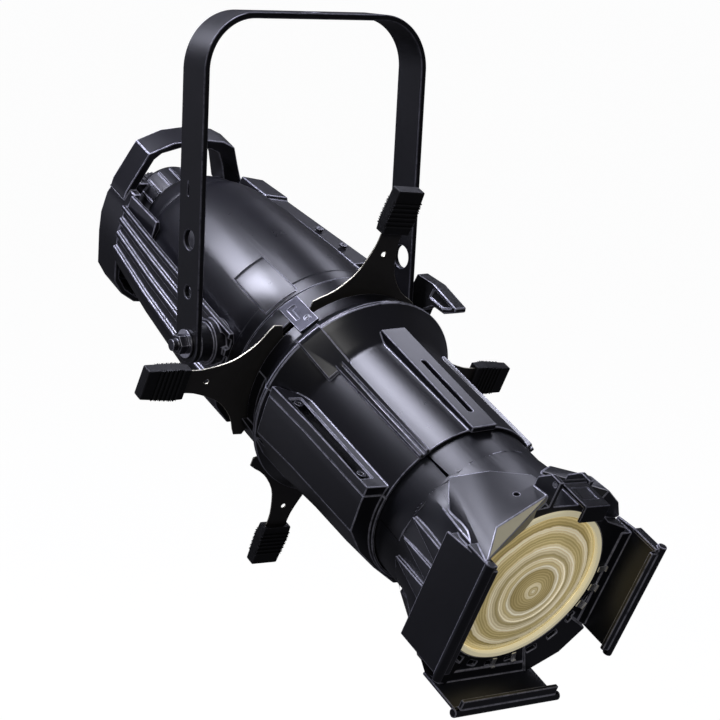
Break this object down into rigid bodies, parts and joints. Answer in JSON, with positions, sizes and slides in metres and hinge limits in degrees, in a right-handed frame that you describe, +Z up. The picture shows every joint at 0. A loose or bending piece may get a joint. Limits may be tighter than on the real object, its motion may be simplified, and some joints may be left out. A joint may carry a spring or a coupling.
{
  "type": "profile spotlight with yoke",
  "caption": "Black theatre profile spotlight on a steel yoke: tilting lamp housing, turning barrel with framing shutters, sliding lens tube and colour-frame holder.",
  "frame": {"origin": "centre of the hanging-bolt hole, on the upper face of the yoke top bar", "axes": "+X across the yoke towards the tilt-lock lever, -Y the way the lens points, +Z up"},
  "size_m": [0.3746, 0.6154, 0.4918],
  "materials": {
    "yoke_black": "satin black powder coat on bent steel flat",
    "cast_black": "satin black powder coat on die-cast aluminium",
    "bright_steel": "plated steel",
    "dark_steel": "blackened steel",
    "grip_plastic": "matt black moulded plastic",
    "shutter_steel": "dark heat-stained stainless sheet",
    "gland_rubber": "black rubber",
    "plate_grey": "brushed grey metal",
    "latch_black": "semi-gloss black",
    "reflector_mirror": "coated glass mirror",
    "lens_glass": "moulded glass with concentric steps, warm tint",
    "lamp_glass": "clear quartz",
    "lamp_ceramic": "off-white ceramic"
  },
  "bodies": {
    "yoke": {"yoke_strap": "yoke_black"},
    "housing": {"reflector_housing": "cast_black", "side_casting_left": "cast_black", "side_casting_right": "cast_black", "ledge_screw_1": "dark_steel", "ledge_screw_2": "dark_steel", "rear_cage": "cast_black", "rear_dome": "cast_black", "reflector": "reflector_mirror", "gate_plate": "dark_steel", "pivot_bolt_left": "dark_steel", "pivot_washer_left": "bright_steel", "pivot_stud_right": "bright_steel", "friction_washer_right": "dark_steel"},
    "tilt_lever": {"tilt_lock_knob": "grip_plastic"},
    "lamp": {"lamp_cap": "cast_black", "cord_gland": "gland_rubber", "lamp_socket": "lamp_ceramic", "lamp_base": "lamp_ceramic", "lamp_bulb": "lamp_glass"},
    "lamp_screw": {"lamp_knob": "grip_plastic"},
    "barrel": {"barrel_top": "cast_black", "barrel_bottom": "cast_black", "drum_plate": "plate_grey", "barrel_screw_1": "dark_steel", "barrel_screw_2": "dark_steel", "barrel_screw_3": "dark_steel", "barrel_screw_4": "dark_steel"},
    "lens_tube_body": {"lens_tube": "cast_black", "front_lens": "lens_glass", "lens_ring": "plate_grey", "focus_stem": "bright_steel", "latch_pin": "bright_steel"},
    "focus_knob_body": {"focus_knob": "grip_plastic"},
    "latch": {"frame_latch": "latch_black"},
    "shutter_top": {"shutter_blade_top": "shutter_steel", "shutter_grip_top": "grip_plastic"},
    "shutter_bottom": {"shutter_blade_bottom": "shutter_steel", "shutter_grip_bottom": "grip_plastic"},
    "shutter_left": {"shutter_blade_left": "shutter_steel", "shutter_grip_left": "grip_plastic"},
    "shutter_right": {"shutter_blade_right": "shutter_steel", "shutter_grip_right": "grip_plastic"}
  },
  "joints": [
    {"name": "tilt", "type": "hinge", "parent": "yoke", "child": "housing", "pos_m": [0, 0, -0.266], "axis": [1, 0, 0], "range_deg": [-50, 100]},
    {"name": "tilt_lock", "type": "hinge", "parent": "housing", "child": "tilt_lever", "pos_m": [0.122, 0, -0.266], "axis": [1, 0, 0], "range_deg": [-110, 8]},
    {"name": "barrel_turn", "type": "hinge", "parent": "housing", "child": "barrel", "pos_m": [0, 0.00181, -0.27066], "axis": [0, -0.9323, -0.3616], "range_deg": [-19, 31]},
    {"name": "lens_tube_slide", "type": "slide", "parent": "barrel", "child": "lens_tube_body", "axis": [0, -0.9323, -0.3616], "range_m": [-0.018, 0.031]},
    {"name": "focus_knob_turn", "type": "hinge", "parent": "lens_tube_body", "child": "focus_knob_body", "pos_m": [0.06231, -0.14619, -0.42005], "axis": [0.5878, 0.2926, -0.7543], "range_deg": [-30, 360]},
    {"name": "frame_latch_hinge", "type": "hinge", "parent": "lens_tube_body", "child": "latch", "pos_m": [0.00928, -0.33686, -0.3073], "axis": [-0.9945, -0.0378, 0.0975], "range_deg": [0, 110]},
    {"name": "lamp_slide", "type": "slide", "parent": "housing", "child": "lamp", "axis": [0, 0.9323, 0.3616], "range_m": [0, 0.095]},
    {"name": "lamp_screw_turn", "type": "hinge", "parent": "lamp", "child": "lamp_screw", "pos_m": [-0.012, 0.2335, -0.17114], "axis": [0, 0.9323, 0.3616], "range_deg": [-30, 720]},
    {"name": "shutter_top_slide", "type": "slide", "parent": "barrel", "child": "shutter_top", "axis": [-0.1045, 0.3596, -0.9272], "range_m": [-0.013, 0.031]},
    {"name": "shutter_bottom_slide", "type": "slide", "parent": "barrel", "child": "shutter_bottom", "axis": [0.1045, -0.3596, 0.9272], "range_m": [0, 0.044]},
    {"name": "shutter_left_slide", "type": "slide", "parent": "barrel", "child": "shutter_left", "axis": [0.9945, 0.0378, -0.0975], "range_m": [-0.003, 0.041]},
    {"name": "shutter_right_slide", "type": "slide", "parent": "barrel", "child": "shutter_right", "axis": [-0.9945, -0.0378, 0.0975], "range_m": [-0.003, 0.041]}
  ]
}
